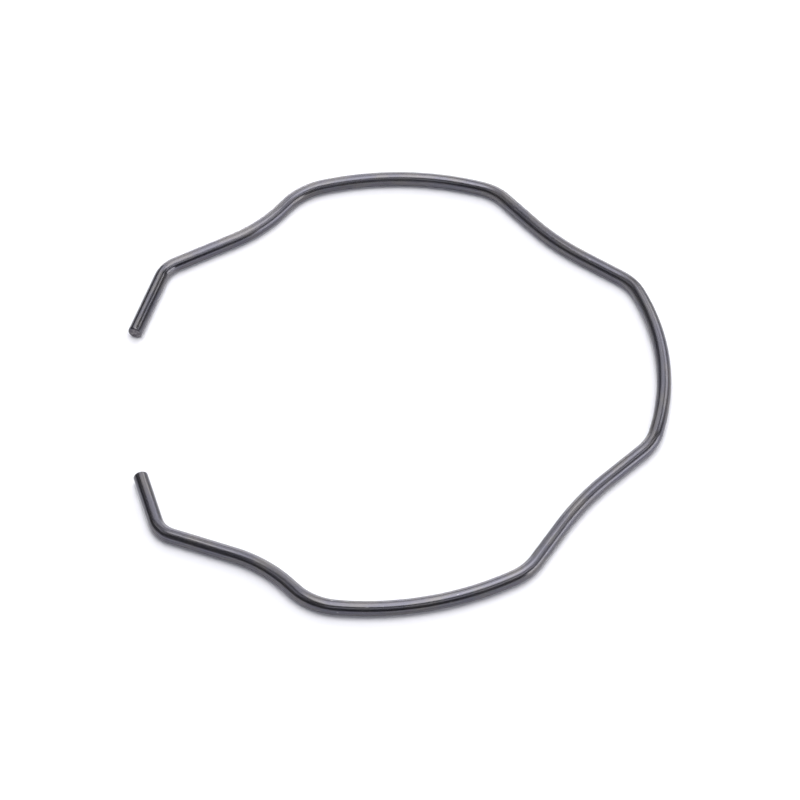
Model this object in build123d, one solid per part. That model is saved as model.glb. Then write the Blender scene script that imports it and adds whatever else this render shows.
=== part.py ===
from build123d import *
import math
import os
from dataclasses import dataclass

# Retaining clip for the oil seal of a telescopic fork, in its free state: one length of
# round spring wire, bent flat. Three lobes spring out into a groove in the fork's outer
# tube, four dips between them pass over the seal's rim, and the two legs beside the gap
# are where a pick lifts the clip out.
#
# Millimetres. The origin is the centre of the lobes' circle, on the wire's middle plane.
# +X runs out through the back lobe, the gap faces -X, and +Z is the fork's axis.
# Spans and angles are in degrees about the origin. Angles count from +X, and both hold for
# either half of the clip.

# Wire
wire_diameter = 1.5
end_edge_break = 0.15          # radius that shearing leaves round each cut end

# Lobes, which follow one circle
clip_diameter = 60.0           # over the outside of the lobes
back_lobe_span = 38.0
side_lobe_span = 35.0
back_lobe_bend = 5.7           # centreline radii of the bends at the ends of the lobes
side_lobe_back_bend = 5.7
side_lobe_front_bend = 7.0

# Dips between the lobes
back_dip_span = 46.5
back_dip_depth = 2.8           # from the lobes' circle in to the lowest point
back_dip_straight = 4.9        # straight wire before and after the dip's own bend
front_dip_entry_span = 21.3    # from the side lobe to the lowest point
front_dip_depth = 3.0
front_dip_straight = 1.1       # straight wire before the dip's own bend

# Shoulders, where the wire turns in towards the gap
shoulder_straight = 6.8        # straight wire from the front dip to the shoulder
shoulder_inset = 0.45          # how far the bend stays inside the lobes' circle
shoulder_bend = 3.1

# Legs, straight, and cut to slightly different lengths
long_leg_length = 8.3
long_leg_splay = 19.0          # lean away from the clip, from square across the gap
short_leg_length = 6.2
short_leg_splay = 15.3

# The wire's centreline runs one wire radius inside every outer size.
wire_radius = wire_diameter / 2
lobe_radius = clip_diameter / 2 - wire_radius

# Lobes and dips follow one another round the clip, so a changed span moves those after it.
back_lobe_end_angle = back_lobe_span / 2
back_dip_angle = back_lobe_end_angle + back_dip_span / 2
side_lobe_start_angle = back_lobe_end_angle + back_dip_span
side_lobe_end_angle = side_lobe_start_angle + side_lobe_span
front_dip_angle = side_lobe_end_angle + front_dip_entry_span

counter_clockwise = 1
clockwise = -1
shortest_straight = 1e-5       # below this, two bends meet with no straight between them


@dataclass
class Bend:
    """One arc of the centreline: its centre, its radius and the way the wire turns."""
    center: Vector
    radius: float
    turn: int


def polar(radius, angle):
    return Vector(radius * math.cos(math.radians(angle)), radius * math.sin(math.radians(angle)))


def heading(angle):
    return polar(1, angle)


def left_of(direction):
    return Vector(-direction.Y, direction.X)


def angle_of(vector):
    return math.degrees(math.atan2(vector.Y, vector.X))


def lobe():
    return Bend(Vector(0, 0), lobe_radius, counter_clockwise)


def lobe_end(angle, radius):
    """The bend that leaves the lobes' circle at an angle, tangent to it from inside."""
    return Bend(polar(lobe_radius - radius, angle), radius, counter_clockwise)


def dip(depth, angle, neighbour, straight):
    """
    The bend of a dip, with its lowest point at a depth and an angle. Its radius is the one
    that leaves a straight of the given length beside the neighbouring bend: between tangent
    circles of opposite turn, distance^2 = straight^2 + (sum of radii)^2. Where the dip is
    shallower than the chord between its corners, the radius comes out negative, and the
    wire turns there the same way as in the lobes.
    """
    lowest = lobe_radius - depth
    along = neighbour.center.dot(heading(angle))
    radius = (neighbour.center.length ** 2 + lowest ** 2 - 2 * lowest * along
              - straight ** 2 - neighbour.radius ** 2)
    radius = radius / (2 * (neighbour.radius - lowest + along))
    turn = clockwise if radius > 0 else counter_clockwise
    return Bend(polar(lowest + radius, angle), abs(radius), turn)


def shoulder(front_dip):
    """
    The bend at the root of a leg. The centres of the clip, the front dip's bend and this
    one make a triangle with three known sides, which gives the angle at the clip's centre.
    """
    reach = lobe_radius - shoulder_inset - shoulder_bend
    dip_reach = front_dip.center.dot(heading(front_dip_angle))
    apart = math.hypot(shoulder_straight, shoulder_bend - front_dip.turn * front_dip.radius)
    cosine = (reach ** 2 + dip_reach ** 2 - apart ** 2) / (2 * reach * dip_reach)
    angle = front_dip_angle + math.degrees(math.acos(cosine))
    return Bend(polar(reach, angle), shoulder_bend, counter_clockwise)


def half_of_bends():
    """The bends of the +Y half, in order from the back lobe to the shoulder."""
    back_corner = lobe_end(back_lobe_end_angle, back_lobe_bend)
    side_back_corner = lobe_end(side_lobe_start_angle, side_lobe_back_bend)
    side_front_corner = lobe_end(side_lobe_end_angle, side_lobe_front_bend)
    back_dip = dip(back_dip_depth, back_dip_angle, back_corner, back_dip_straight)
    front_dip = dip(front_dip_depth, front_dip_angle, side_front_corner, front_dip_straight)
    return [lobe(), back_corner, back_dip, side_back_corner, lobe(), side_front_corner,
            front_dip, shoulder(front_dip)]


def mirrored(bend):
    """A bend of the other half, which is met in the opposite order and so turns alike."""
    return Bend(Vector(bend.center.X, -bend.center.Y), bend.radius, bend.turn)


def tangent_points(first, second):
    """Where the straight between two bends leaves the first and reaches the second."""
    between = second.center - first.center
    offset = second.turn * second.radius - first.turn * first.radius
    straight_squared = between.length ** 2 - offset ** 2
    straight = math.sqrt(straight_squared) if straight_squared > shortest_straight ** 2 else 0
    side = left_of(heading(angle_of(between) - math.degrees(math.atan2(offset, straight))))
    return (first.center - side * (first.turn * first.radius),
            second.center - side * (second.turn * second.radius))


def leg_root(bend, direction):
    """Where a leg that points along a direction leaves its shoulder."""
    return bend.center - left_of(direction) * (bend.turn * bend.radius)


def arc(bend, start, end):
    start_angle = angle_of(start - bend.center)
    turned = (bend.turn * (angle_of(end - bend.center) - start_angle)) % 360
    return CenterArc(bend.center, bend.radius, start_angle, bend.turn * turned)


def centreline():
    """The whole wire from the tip of the short leg round to the tip of the long one."""
    half = half_of_bends()
    bends = [mirrored(bend) for bend in reversed(half[1:])] + half

    short_direction = heading(90 + short_leg_splay)      # from the shoulder to the tip
    long_direction = heading(270 - long_leg_splay)
    short_root = leg_root(bends[0], -short_direction)
    long_root = leg_root(bends[-1], long_direction)

    edges = [Line(short_root + short_direction * short_leg_length, short_root)]
    start = short_root
    for bend, following in zip(bends, bends[1:]):
        end, next_start = tangent_points(bend, following)
        edges.append(arc(bend, start, end))
        if (next_start - end).length > shortest_straight:
            edges.append(Line(end, next_start))
        start = next_start
    edges.append(arc(bends[-1], start, long_root))
    edges.append(Line(long_root, long_root + long_direction * long_leg_length))
    return Wire(edges)


def retaining_clip():
    path = centreline()
    section = Plane(origin=path @ 0, z_dir=path % 0) * Circle(wire_radius)
    wire = sweep(section, path=path)
    cut_faces = wire.faces().filter_by(GeomType.PLANE)
    return fillet(cut_faces.edges(), end_edge_break), path


clip, clip_path = retaining_clip()
clip.label = "retaining_clip"

straight_volume = math.pi * wire_radius ** 2 * clip_path.length
box = clip.bounding_box()
print(f"wire length {clip_path.length:.2f}, volume {clip.volume:.2f} of {straight_volume:.2f}")
print(f"size {box.size.X:.2f} x {box.size.Y:.2f} x {box.size.Z:.2f}")
for bend in half_of_bends():
    print(f"bend radius {bend.radius:.2f}, turn {bend.turn:+d}")

os.makedirs("parts", exist_ok=True)
export_step(clip, "parts/retaining_clip.step")
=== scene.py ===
import math

import bpy
import numpy as np
from mathutils import Matrix, Vector


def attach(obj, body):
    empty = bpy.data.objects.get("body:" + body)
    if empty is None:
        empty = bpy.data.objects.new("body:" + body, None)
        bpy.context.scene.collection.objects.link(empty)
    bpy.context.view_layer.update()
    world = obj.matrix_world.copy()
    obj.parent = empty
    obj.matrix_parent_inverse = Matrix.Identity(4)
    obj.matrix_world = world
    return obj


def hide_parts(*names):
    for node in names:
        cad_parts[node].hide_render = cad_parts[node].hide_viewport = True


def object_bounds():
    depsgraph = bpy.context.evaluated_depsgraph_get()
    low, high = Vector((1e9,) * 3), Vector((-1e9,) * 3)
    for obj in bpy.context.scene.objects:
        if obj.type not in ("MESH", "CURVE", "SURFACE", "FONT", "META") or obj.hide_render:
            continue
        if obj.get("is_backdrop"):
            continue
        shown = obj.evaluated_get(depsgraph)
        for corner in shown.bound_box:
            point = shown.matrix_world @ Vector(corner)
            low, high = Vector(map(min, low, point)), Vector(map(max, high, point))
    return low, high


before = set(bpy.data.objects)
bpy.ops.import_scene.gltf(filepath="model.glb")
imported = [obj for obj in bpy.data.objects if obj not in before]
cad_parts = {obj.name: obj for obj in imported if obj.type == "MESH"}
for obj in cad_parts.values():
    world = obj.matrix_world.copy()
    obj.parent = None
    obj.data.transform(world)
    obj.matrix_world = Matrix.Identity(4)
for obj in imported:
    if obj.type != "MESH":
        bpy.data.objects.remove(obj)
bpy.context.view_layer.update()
mm = 0.001

# Every size of the bent wire, in millimetres and degrees, with the same values as the solid's.
springWire = {
    "name": "spring_wire_clip",
    "body": "root",
    "diameter": 1.5,
    "clipDiameter": 60.0,         # over the outside of the lobes
    "backLobeSpan": 38.0,
    "backDipSpan": 46.5,
    "sideLobeSpan": 35.0,
    "frontDipEntry": 21.3,        # from the side lobe's end to the dip's lowest point
    "backLobeBend": 5.7,
    "sideLobeBackBend": 5.7,
    "sideLobeFrontBend": 7.0,
    "backDipDepth": 2.8,
    "backDipStraight": 4.9,
    "frontDipDepth": 3.0,
    "frontDipStraight": 1.1,
    "shoulderStraight": 6.8,
    "shoulderInset": 0.45,
    "shoulderBend": 3.1,
    "longLeg": 8.3,
    "longLegSplay": 19.0,
    "shortLeg": 6.2,
    "shortLegSplay": 15.3,
    "edgeRoll": 0.15,
    "pinFree": 0.15,              # curvature, per mm, below which the bending pin left no mark
    "pinFull": 0.35,              # and above which it left its full mark
    "pinBlend": 0.9,              # mm over which a mark fades along the wire
    "pinReach": 3,                # how many times pinBlend the fading reaches
    "stations": 1500,             # rings along the wire
    "around": 60,                 # points on each ring
    "edgeRings": 6,
    "faceRings": 8,
    "faceMiddle": 0.08,           # the smallest ring of a sheared face, as a share of the face
}


def polar(radius, angle):
    # A point as a complex number: radius times (cos angle + i sin angle).
    return radius * np.exp(1j * np.radians(angle))


def lobeRadius(wire):
    # The centreline runs one wire radius inside the circle over the lobes.
    return (wire["clipDiameter"] - wire["diameter"]) / 2


def dipBend(wire, depth, angle, neighbour, straight):
    # radius = (|c|^2 + low^2 - 2 low along - straight^2 - r^2) / 2 (r - low + along), from
    # distance^2 = straight^2 + (sum of radii)^2 between two circles that turn opposite ways.
    centre, radius = neighbour[:2]
    lowest = lobeRadius(wire) - depth
    along = (centre * np.conj(polar(1, angle))).real
    top = abs(centre) ** 2 + lowest ** 2 - 2 * lowest * along - straight ** 2 - radius ** 2
    dipRadius = top / (2 * (radius - lowest + along))
    return polar(lowest + dipRadius, angle), abs(dipRadius), -np.sign(dipRadius)


def shoulderBend(wire, angle, frontDip):
    # The clip's centre and the two bends' centres make a triangle with three known sides,
    # and the cosine rule gives the angle at the clip's centre.
    centre, radius, turn = frontDip
    reach = lobeRadius(wire) - wire["shoulderInset"] - wire["shoulderBend"]
    dipReach = (centre * np.conj(polar(1, angle))).real
    apart = np.hypot(wire["shoulderStraight"], wire["shoulderBend"] - turn * radius)
    turned = np.arccos((reach ** 2 + dipReach ** 2 - apart ** 2) / (2 * reach * dipReach))
    return polar(reach, angle + np.degrees(turned)), wire["shoulderBend"], 1


def halfBends(wire):
    # The bends (centre, radius, turn) of the +Y half, from the back lobe to the shoulder.
    # Each lobe and dip begins at the angle where the one before it ends.
    lobe = (0j, lobeRadius(wire), 1)
    backEnd = wire["backLobeSpan"] / 2
    sideStart = backEnd + wire["backDipSpan"]
    sideEnd = sideStart + wire["sideLobeSpan"]
    frontAngle = sideEnd + wire["frontDipEntry"]

    def corner(angle, radius):
        # Tangent to the lobes' circle from inside: its centre lies the radius further in.
        return polar(lobeRadius(wire) - radius, angle), radius, 1

    backCorner = corner(backEnd, wire["backLobeBend"])
    sideCorner = corner(sideEnd, wire["sideLobeFrontBend"])
    backAngle = (backEnd + sideStart) / 2
    backDip = dipBend(wire, wire["backDipDepth"], backAngle, backCorner, wire["backDipStraight"])
    frontDip = dipBend(wire, wire["frontDipDepth"], frontAngle, sideCorner, wire["frontDipStraight"])
    return [lobe, backCorner, backDip, corner(sideStart, wire["sideLobeBackBend"]), lobe, sideCorner,
            frontDip, shoulderBend(wire, frontAngle, frontDip)]


def wireRuns(wire):
    # The wire from the short leg's tip as runs of constant curvature: lengths, curvatures,
    # the first point and the first heading. The tangent between two bends has the heading
    # between * (straight - i offset) / |between|^2, with offset the difference of turn * radius.
    half = halfBends(wire)
    bends = [(np.conj(c), r, turn) for c, r, turn in half[:0:-1]] + half
    shortHeading = -polar(1, 90 + wire["shortLegSplay"])
    longHeading = polar(1, 270 - wire["longLegSplay"])
    straights = []
    headings = [shortHeading]
    for (c1, r1, t1), (c2, r2, t2) in zip(bends, bends[1:]):
        between = c2 - c1
        offset = t2 * r2 - t1 * r1
        straight = np.sqrt(max(abs(between) ** 2 - offset ** 2, 0))
        heading = between * (straight - 1j * offset)
        straights.append(straight)
        headings.append(heading / abs(heading))
    headings.append(longHeading)

    lengths = [wire["shortLeg"]]
    curvatures = [0]
    for index, (centre, radius, turn) in enumerate(bends):
        turned = (turn * np.angle(headings[index + 1] / headings[index])) % (2 * np.pi)
        lengths += [radius * turned, (straights + [wire["longLeg"]])[index]]
        curvatures += [turn / radius, 0]
    centre, radius, turn = bends[0]
    root = centre - 1j * shortHeading * turn * radius
    return np.array(lengths), np.array(curvatures), root - shortHeading * wire["shortLeg"], shortHeading


def alongRuns(runs, distance):
    # A run of curvature k that starts at p with heading h reaches, after t,
    # p + t sinc(k t / 2) h e^(i k t / 2), and points along h e^(i k t).
    lengths, curvatures, start, heading = runs
    ends = np.cumsum(lengths)
    starts = ends - lengths
    turned = np.concatenate([[0], np.cumsum(lengths * curvatures)])
    headings = heading * np.exp(1j * turned)
    chords = lengths * np.sinc(lengths * curvatures / 2 / np.pi)
    steps = chords * headings[:-1] * np.exp(0.5j * lengths * curvatures)
    points = start + np.concatenate([[0], np.cumsum(steps)])
    index = np.clip(np.searchsorted(ends, distance), 0, len(lengths) - 1)
    t = distance - starts[index]
    k = curvatures[index]
    point = points[index] + t * np.sinc(k * t / 2 / np.pi) * headings[index] * np.exp(0.5j * k * t)
    return point, headings[index] * np.exp(1j * k * t), k


def wireRings(wire, total):
    # Distance along the wire and radius of every ring: flat face, rolled edge, body, and the
    # same back. The edge turns a quarter: roll (1 - cos q) along, radius - roll + roll sin q out.
    radius = wire["diameter"] / 2
    roll = wire["edgeRoll"]
    quarter = np.linspace(0, np.pi / 2, wire["edgeRings"] + 1)
    face = np.linspace(wire["faceMiddle"], 1, wire["faceRings"]) * (radius - roll)
    capDistance = np.concatenate([np.zeros(len(face)), roll * (1 - np.cos(quarter[1:]))])
    capRadius = np.concatenate([face, radius - roll + roll * np.sin(quarter[1:])])
    body = np.linspace(roll, total - roll, wire["stations"])[1:-1]
    distance = np.concatenate([capDistance, body, total - capDistance[::-1]])
    radii = np.concatenate([capRadius, np.full(len(body), radius), capRadius[::-1]])
    return distance, radii


def pinPressure(wire, runs, distance):
    # The curvature along the wire, averaged over the bell curve e^-(t / pinBlend)^2.
    even = np.linspace(0, runs[0].sum(), wire["stations"])
    curvature = alongRuns(runs, even)[2]
    step = even[1] / wire["pinBlend"]
    bell = np.exp(-np.arange(-wire["pinReach"], wire["pinReach"], step) ** 2)
    return np.interp(distance, even, np.convolve(curvature, bell / bell.sum(), "same"))


def wireFaces(rows, columns):
    # Quads from each ring to the next, and a fan from each end's middle point to its first ring.
    grid = np.arange(rows * columns).reshape(rows, columns)
    following = np.roll(grid, -1, axis=1)
    quads = np.stack([grid[:-1], following[:-1], following[1:], grid[1:]], -1).reshape(-1, 4)
    firstFan = np.stack([np.full(columns, rows * columns), following[0], grid[0]], -1)
    lastFan = np.stack([np.full(columns, rows * columns + 1), grid[-1], following[-1]], -1)
    return quads, firstFan, lastFan


def addAttribute(mesh, name, kind, values):
    # One value or vector for each point, under a name that the finish reads.
    made = mesh.attributes.new(name, kind, "POINT")
    made.data.foreach_set("vector" if kind == "FLOAT_VECTOR" else "value", values.astype(np.float32).ravel())


def markWire(mesh, wire, runs, distance, radii, around):
    # The finish's own space, in millimetres: across, up, and along the straightened wire.
    total = runs[0].sum()
    side = radii[:, None] * np.cos(around)
    up = radii[:, None] * np.sin(around)
    along = np.repeat(distance[:, None], len(around), axis=1)
    straightened = np.stack([side, up, along], -1).reshape(-1, 3)
    straightened = np.concatenate([straightened, [[0, 0, 0], [0, 0, total]]])
    addAttribute(mesh, "wireSpace", "FLOAT_VECTOR", straightened)

    # Where the bending pin pressed, on the inner side of the tight bends: curvature * cos v,
    # from 0 at pinFree to 1 at pinFull.
    pressed = pinPressure(wire, runs, distance)[:, None] * np.cos(around)
    pressed = np.clip((pressed - wire["pinFree"]) / (wire["pinFull"] - wire["pinFree"]), 0, 1)
    addAttribute(mesh, "pinMark", "FLOAT", np.append(pressed, [0, 0]))

    # 1 on the two sheared faces, which end where their edge begins to roll over.
    faceRadius = wire["diameter"] / 2 - wire["edgeRoll"]
    onFace = (radii < faceRadius) | np.isclose(radii, faceRadius)
    addAttribute(mesh, "sheared", "FLOAT", np.append(np.repeat(onFace, len(around)), [1, 1]))


def unwrapWire(mesh, corners, distance, columns):
    # U = turns round the wire and V = distance / length, so that the gloss follows the die lines.
    u = np.arange(columns) / columns
    nextU = u + 1 / columns
    quadU = np.tile(np.stack([u, nextU, nextU, u], -1).ravel(), len(distance) - 1)
    allU = np.concatenate([quadU, np.stack([u, nextU, u], -1).ravel(), np.stack([u, u, nextU], -1).ravel()])
    along = np.append(np.repeat(distance, columns), [0, distance[-1]])
    allV = along[corners] / distance[-1]
    uv = np.stack([allU, allV], -1).astype(np.float32)
    mesh.uv_layers.new(name="roundAndAlong").data.foreach_set("uv", uv.ravel())


def wireMesh(wire):
    # Point = centreline + r (cos v n + sin v z), with n the heading turned a quarter to the left.
    runs = wireRuns(wire)
    distance, radii = wireRings(wire, runs[0].sum())
    point, heading = alongRuns(runs, distance)[:2]
    columns = wire["around"]
    around = np.arange(columns) / columns * 2 * np.pi
    flat = point[:, None] + radii[:, None] * np.cos(around) * (1j * heading)[:, None]
    rings = np.stack([flat.real, flat.imag, radii[:, None] * np.sin(around)], -1).reshape(-1, 3)
    middles = [[end.real, end.imag, 0] for end in point[[0, -1]]]

    quads, firstFan, lastFan = wireFaces(len(distance), columns)
    mesh = bpy.data.meshes.new(wire["name"])
    mesh.from_pydata((np.concatenate([rings, middles]) * mm).tolist(), [],
                     quads.tolist() + firstFan.tolist() + lastFan.tolist())
    mesh.polygons.foreach_set("use_smooth", np.ones(len(mesh.polygons), bool))
    markWire(mesh, wire, runs, distance, radii, around)
    corners = np.concatenate([quads.ravel(), firstFan.ravel(), lastFan.ravel()])
    unwrapWire(mesh, corners, distance, columns)
    print(f"spring wire: {distance[-1]:.2f} mm long, {len(mesh.polygons)} faces")
    return mesh


def buildClip(wire):
    clip = bpy.data.objects.new(wire["name"], wireMesh(wire))
    bpy.context.scene.collection.objects.link(clip)
    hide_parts("retaining_clip")
    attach(clip, wire["body"])
    return clip


def node(tree, kind, inputs=None, **settings):
    # One node, with its settings, and each input given a value or another node's output.
    made = tree.nodes.new(kind)
    for name, value in settings.items():
        setattr(made, name, value)
    for name, value in (inputs or {}).items():
        if isinstance(value, bpy.types.NodeSocket):
            tree.links.new(value, made.inputs[name])
        else:
            made.inputs[name].default_value = value
    return made


# The finish of oil-tempered drawn wire.
drawnSteel = {
    "oxideBlue": (0.104, 0.102, 0.125, 1),
    "oxideBrown": (0.125, 0.119, 0.124, 1),
    "oxideMetallic": 0.8,                      # the oxide film is only partly metal
    "oxideIor": 1.7,
    "anisotropic": 0.4,
    "rubbed": (0.36, 0.355, 0.36, 1),          # bright steel where the oxide is worn through
    "rubbedRoughness": 0.24,
    "shearedSteel": (0.23, 0.215, 0.225, 1),
    # Painted shade: the hollows of the tearing on the sheared faces get this darker colour.
    "tearHollowShade": (0.09, 0.085, 0.095, 1),      # the hollows of the sheared faces
    "shearedRoughness": 0.42,
    # Each grain has its features per millimetre across, up and along the wire, and its detail.
    "dieLines": ((4.5, 4.5, 0.045), 4),
    "fineLines": ((15.0, 15.0, 0.16), 2),
    "patches": ((0.9, 0.9, 0.3), 5),
    "nicks": ((4.0, 4.0, 1.6), 3),
    "tears": ((3.5, 3.5, 3.5), 4),
    "grainRoughness": 0.6,
    # The two levels of a grain, of 0 to 1, between which its effect comes in.
    "brownFrom": (0.38, 0.64),
    "lineFrom": (0.3, 0.7),
    "wearFrom": (0.35, 0.6),
    "nickFrom": (0.66, 0.74),
    "tearFrom": (0.38, 0.6),
    # What the grains do. A pair goes from the lower level to the upper one.
    "lineShade": (0.72, 1.28),                 # how far the die lines darken and lighten the oxide
    "lineGloss": (0.15, 0.30),                 # roughness between the lines and on them
    "pinWear": (0.05, 0.35),                   # share of the oxide that the bending pin took off
    "nickWear": 0.5,
    "lineDepth": 0.004,                        # in millimetres, as are the next two
    "fineLineDepth": 0.0016,
    "tearDepth": 0.03,
}


def drawnSteelMaterial(look):
    material = bpy.data.materials.new("drawn_spring_steel")
    material.use_nodes = True
    tree = material.node_tree
    shader = tree.nodes["Principled BSDF"]
    shader.inputs["IOR"].default_value = look["oxideIor"]
    shader.inputs["Anisotropic"].default_value = look["anisotropic"]
    wireSpace = node(tree, "ShaderNodeAttribute", attribute_name="wireSpace").outputs["Vector"]
    pinMark = node(tree, "ShaderNodeAttribute", attribute_name="pinMark").outputs["Fac"]
    sheared = node(tree, "ShaderNodeAttribute", attribute_name="sheared").outputs["Fac"]

    def grain(kind):
        scale, detail = look[kind]
        stretched = node(tree, "ShaderNodeVectorMath", {0: wireSpace, 1: scale}, operation="MULTIPLY")
        return node(tree, "ShaderNodeTexNoise",
                    {"Vector": stretched.outputs["Vector"], "Scale": 1, "Detail": detail,
                     "Roughness": look["grainRoughness"]}).outputs["Fac"]

    def ramp(value, levels, results=(0, 1)):
        return node(tree, "ShaderNodeMapRange",
                    {"Value": value, "From Min": levels[0], "From Max": levels[1],
                     "To Min": results[0], "To Max": results[1]},
                    interpolation_type="SMOOTHSTEP").outputs["Result"]

    def worked(operation, a, b):
        return node(tree, "ShaderNodeMath", {0: a, 1: b}, operation=operation).outputs[0]

    # A Mix node takes its share at input 0, two numbers at 2 and 3, and two colours at 6 and 7.
    def blended(share, a, b):
        return node(tree, "ShaderNodeMix", {0: share, 2: a, 3: b}).outputs[0]

    def mixed(share, a, b, blend="MIX"):
        return node(tree, "ShaderNodeMix", {0: share, 6: a, 7: b},
                    data_type="RGBA", blend_type=blend).outputs[2]

    dieLines = grain("dieLines")
    fineLines = grain("fineLines")
    tears = grain("tears")
    nicks = ramp(grain("nicks"), look["nickFrom"])

    # Oxide: blue to brown in patches, times the shade of the die lines.
    oxide = mixed(ramp(grain("patches"), look["brownFrom"]), look["oxideBlue"], look["oxideBrown"])
    shade = ramp(dieLines, look["lineFrom"], look["lineShade"])
    shade = node(tree, "ShaderNodeCombineColor", {0: shade, 1: shade, 2: shade}).outputs[0]
    oxide = mixed(1, oxide, shade, "MULTIPLY")

    # It is worn through at the pin's marks and the nicks, and gone from the sheared faces.
    worn = worked("MULTIPLY", pinMark, ramp(fineLines, look["wearFrom"], look["pinWear"]))
    worn = worked("MAXIMUM", worn, worked("MULTIPLY", nicks, look["nickWear"]))
    # The sheared faces are bare steel, with painted shade darkening the hollows of the tearing.
    cut = mixed(ramp(tears, look["tearFrom"]), look["tearHollowShade"], look["shearedSteel"])
    color = mixed(sheared, mixed(worn, oxide, look["rubbed"]), cut)
    tree.links.new(color, shader.inputs["Base Color"])
    metallic = blended(worked("MAXIMUM", worn, sheared), look["oxideMetallic"], 1)
    tree.links.new(metallic, shader.inputs["Metallic"])
    roughness = ramp(dieLines, look["lineFrom"], look["lineGloss"])
    roughness = blended(worn, roughness, look["rubbedRoughness"])
    roughness = blended(sheared, roughness, look["shearedRoughness"])
    tree.links.new(roughness, shader.inputs["Roughness"])

    # Lines a few microns deep along the wire, and coarser tearing on the sheared faces. All
    # depths are shares of the die lines'.
    tearing = worked("MULTIPLY", worked("MULTIPLY", tears, sheared), look["tearDepth"] / look["lineDepth"])
    lines = worked("MULTIPLY", fineLines, look["fineLineDepth"] / look["lineDepth"])
    height = worked("ADD", worked("ADD", dieLines, lines), tearing)
    bump = node(tree, "ShaderNodeBump", {"Height": height, "Distance": look["lineDepth"] * mm, "Strength": 1})
    tree.links.new(bump.outputs["Normal"], shader.inputs["Normal"])
    around = node(tree, "ShaderNodeTangent", direction_type="UV_MAP", uv_map="roundAndAlong")
    tree.links.new(around.outputs["Tangent"], shader.inputs["Tangent"])
    print("finish: oil-tempered drawn spring steel")
    return material


# The white board that the clip lies on, in metres.
table = {
    "halfSide": 20.0,
    "color": (0.93, 0.93, 0.96, 1),
    "roughness": 0.25,
    "gloss": 0.1,
    "glow": (0.05, 0.05, 0.065, 1),        # what the board adds to its own white near the clip,
    "farGlow": (1, 1, 1, 1),               # and far from it, where the softboxes don't reach
    "glowReach": (0.035, 0.22),            # how far from the clip's centre near ends and far begins
}


def buildTable(look):
    # A square at the clip's lowest point. Only rays that look at the board see its glow.
    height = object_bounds()[0][2]
    h = look["halfSide"]
    mesh = bpy.data.meshes.new("table")
    mesh.from_pydata([(-h, -h, height), (h, -h, height), (h, h, height), (-h, h, height)], [], [(0, 1, 2, 3)])
    top = bpy.data.objects.new("table", mesh)
    bpy.context.scene.collection.objects.link(top)
    material = bpy.data.materials.new("white_board")
    material.use_nodes = True
    tree = material.node_tree
    shader = tree.nodes["Principled BSDF"]
    shader.inputs["Base Color"].default_value = look["color"]
    shader.inputs["Roughness"].default_value = look["roughness"]
    shader.inputs["Specular IOR Level"].default_value = look["gloss"]
    rays = node(tree, "ShaderNodeLightPath").outputs
    seen = rays["Is Camera Ray"]
    for ray in ("Is Glossy Ray", "Is Transmission Ray"):
        seen = node(tree, "ShaderNodeMath", {0: seen, 1: rays[ray]}, operation="MAXIMUM").outputs[0]
    place = node(tree, "ShaderNodeTexCoord").outputs["Object"]
    away = node(tree, "ShaderNodeVectorMath", {0: place}, operation="LENGTH").outputs["Value"]
    far = node(tree, "ShaderNodeMapRange",
               {"Value": away, "From Min": look["glowReach"][0], "From Max": look["glowReach"][1]},
               interpolation_type="SMOOTHSTEP")
    glow = node(tree, "ShaderNodeMix", {0: far.outputs["Result"], 6: look["glow"], 7: look["farGlow"]},
                data_type="RGBA").outputs[2]
    tree.links.new(glow, shader.inputs["Emission Color"])
    tree.links.new(seen, shader.inputs["Emission Strength"])
    mesh.materials.append(material)
    top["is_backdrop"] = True
    print("table: white, under the clip")


# The softboxes: where each stands seen from the clip, in degrees and metres, its width and
# height, and its radiance, of which 1 looks white.
softboxes = {
    "overhead": {"shape": "ELLIPSE", "azimuth": 66, "elevation": 82, "distance": 0.9,
                 "width": 0.8, "height": 0.84, "radiance": 4.05},
    "farWindow": {"shape": "RECTANGLE", "azimuth": 95, "elevation": 43, "distance": 1.2,
                  "width": 0.9, "height": 0.5, "radiance": 1.9},
    "farLow": {"shape": "RECTANGLE", "azimuth": 90, "elevation": 12, "distance": 1.2,
               "width": 1.0, "height": 0.42, "radiance": 3.2},
    "rightWindow": {"shape": "RECTANGLE", "azimuth": 48, "elevation": 32, "distance": 1.0,
                    "width": 0.55, "height": 0.36, "radiance": 3.2},
    "rightLow": {"shape": "RECTANGLE", "azimuth": 347, "elevation": 10, "distance": 1.0,
                 "width": 0.8, "height": 0.3, "radiance": 3.8},
    "rightHigh": {"shape": "RECTANGLE", "azimuth": 346, "elevation": 50, "distance": 1.0,
                  "width": 0.9, "height": 0.28, "radiance": 1.6},
    "behindCamera": {"shape": "RECTANGLE", "azimuth": 271, "elevation": 52, "distance": 1.0,
                     "width": 1.0, "height": 0.3, "radiance": 1.2},
    "left": {"shape": "RECTANGLE", "azimuth": 172, "elevation": 50, "distance": 1.0,
             "width": 0.6, "height": 0.3, "radiance": 0.8},
}


def direction(azimuth, elevation):
    # (cos a cos e, sin a cos e, sin e), with the azimuth counted from +X towards +Y.
    a = math.radians(azimuth)
    e = math.radians(elevation)
    return Vector((math.cos(a) * math.cos(e), math.sin(a) * math.cos(e), math.sin(e)))


def buildSoftbox(name, box):
    # A flat lamp that faces the clip. Its power is pi * radiance * area.
    lamp = bpy.data.lights.new(name, "AREA")
    lamp.shape = box["shape"]
    lamp.size = box["width"]
    lamp.size_y = box["height"]
    area = box["width"] * box["height"] * (math.pi / 4 if box["shape"] == "ELLIPSE" else 1)
    lamp.energy = math.pi * box["radiance"] * area
    softbox = bpy.data.objects.new(name, lamp)
    bpy.context.scene.collection.objects.link(softbox)
    towards = direction(box["azimuth"], box["elevation"])
    softbox.location = towards * box["distance"]
    softbox.rotation_euler = towards.to_track_quat("Z", "Y").to_euler()
    softbox.visible_camera = False


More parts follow.
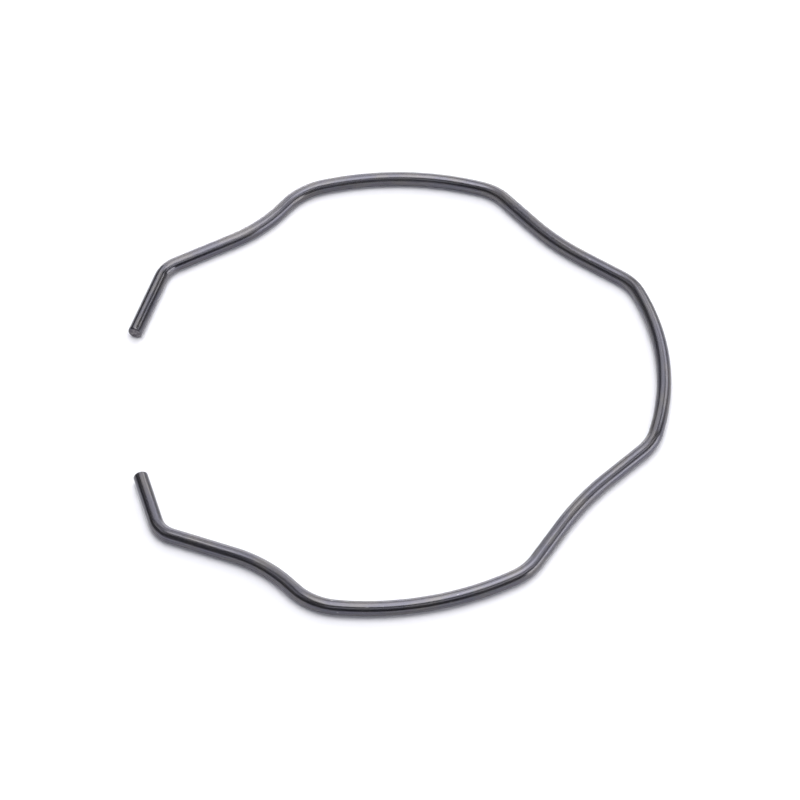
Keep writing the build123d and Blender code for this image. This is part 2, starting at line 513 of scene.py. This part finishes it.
# The room: white walls up to a little above the table, and dark above them.
room = {
    "walls": (1, 1, 1, 1),
    "above": (0.02, 0.02, 0.03, 1),
    "wallTop": (0.092, 0.107),      # sine of the elevation at which the walls begin and end to dim
}


def buildWorld(look):
    # Each direction's colour goes from walls to above as its |z| passes through wallTop.
    world = bpy.data.worlds.new("studio")
    bpy.context.scene.world = world
    world.use_nodes = True
    tree = world.node_tree
    towards = node(tree, "ShaderNodeTexCoord").outputs["Generated"]
    height = node(tree, "ShaderNodeSeparateXYZ", {"Vector": towards}).outputs["Z"]
    height = node(tree, "ShaderNodeMath", {0: height}, operation="ABSOLUTE").outputs[0]
    dimmed = node(tree, "ShaderNodeMapRange",
                  {"Value": height, "From Min": look["wallTop"][0], "From Max": look["wallTop"][1]},
                  interpolation_type="SMOOTHSTEP")
    color = node(tree, "ShaderNodeMix", {0: dimmed.outputs["Result"], 6: look["walls"], 7: look["above"]},
                 data_type="RGBA")
    tree.links.new(color.outputs[2], tree.nodes["Background"].inputs["Color"])
    print("light: softboxes and room")


# The camera: where it stands seen from the clip's centre, in degrees and metres, and its lens
# and sensor in millimetres.
camera = {
    "azimuth": -87.59,
    "elevation": 49.25,
    "distance": 0.2926,
    "lens": 126.71,
    "sensor": 36,
    "nearest": 0.01,              # nothing nearer than this is drawn
    "roll": 5.83,
    "aside": 0.00664,             # where the clip's centre stands off the axis, over the focal length
    "above": 0.00714,
}


def buildCamera(view):
    # The axes are those of a viewer looking at the origin, rolled, then turned a little aside.
    towards = direction(view["azimuth"], view["elevation"])
    right = Vector((0, 0, 1)).cross(towards).normalized()
    up = towards.cross(right)
    roll = math.radians(view["roll"])
    x = math.cos(roll) * right - math.sin(roll) * up
    y = math.sin(roll) * right + math.cos(roll) * up
    z = (towards - x * view["aside"] + y * view["above"]).normalized()
    x = (x - z * x.dot(z)).normalized()
    y = z.cross(x)
    data = bpy.data.cameras.new("camera")
    data.lens = view["lens"]
    data.sensor_width = view["sensor"]
    data.clip_start = view["nearest"]
    viewer = bpy.data.objects.new("camera", data)
    bpy.context.scene.collection.objects.link(viewer)
    turned = Matrix((x, y, z)).transposed().to_4x4()
    viewer.matrix_world = Matrix.Translation(towards * view["distance"]) @ turned
    bpy.context.scene.camera = viewer
    print("camera: long lens, from the near side")


clip = buildClip(springWire)
clip.data.materials.append(drawnSteelMaterial(drawnSteel))
buildTable(table)
for name, box in softboxes.items():
    buildSoftbox(name, box)
buildWorld(room)
buildCamera(camera)
bpy.context.scene.view_settings.view_transform = "Standard"
